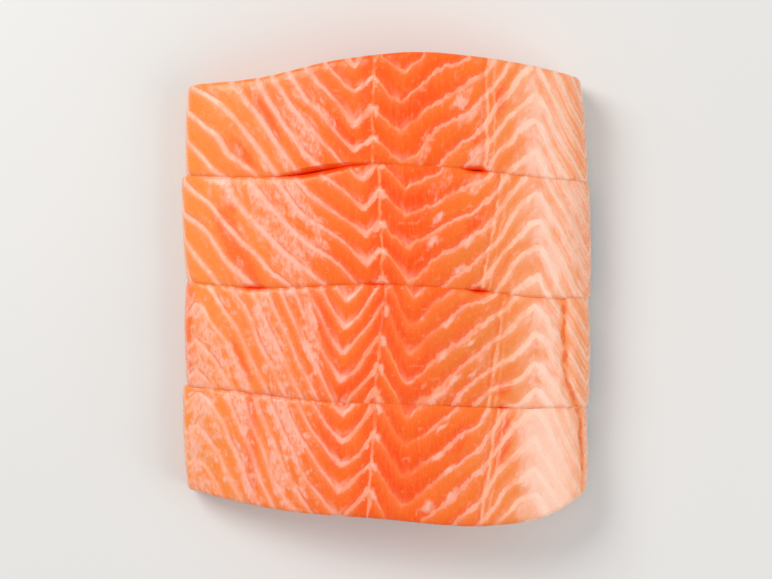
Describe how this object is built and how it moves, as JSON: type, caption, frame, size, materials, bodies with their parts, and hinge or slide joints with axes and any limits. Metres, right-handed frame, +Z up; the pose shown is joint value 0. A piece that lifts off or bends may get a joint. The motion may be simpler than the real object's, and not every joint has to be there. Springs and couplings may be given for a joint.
{
  "type": "raw salmon fillet",
  "caption": "Raw skin-on salmon fillet section lying on its skin, cut across into portions that keep its shape.",
  "frame": {"origin": "middle of the base, on the surface the fillet lies on", "axes": "+X across the fillet towards the thick back edge, +Y along the fish towards the head end, +Z up"},
  "size_m": [0.1402, 0.157, 0.028],
  "materials": {
    "salmon_flesh": "moist"
  },
  "bodies": {
    "root": {"portion_1": "salmon_flesh", "portion_2": "salmon_flesh", "portion_3": "salmon_flesh", "portion_4": "salmon_flesh"}
  },
  "joints": []
}
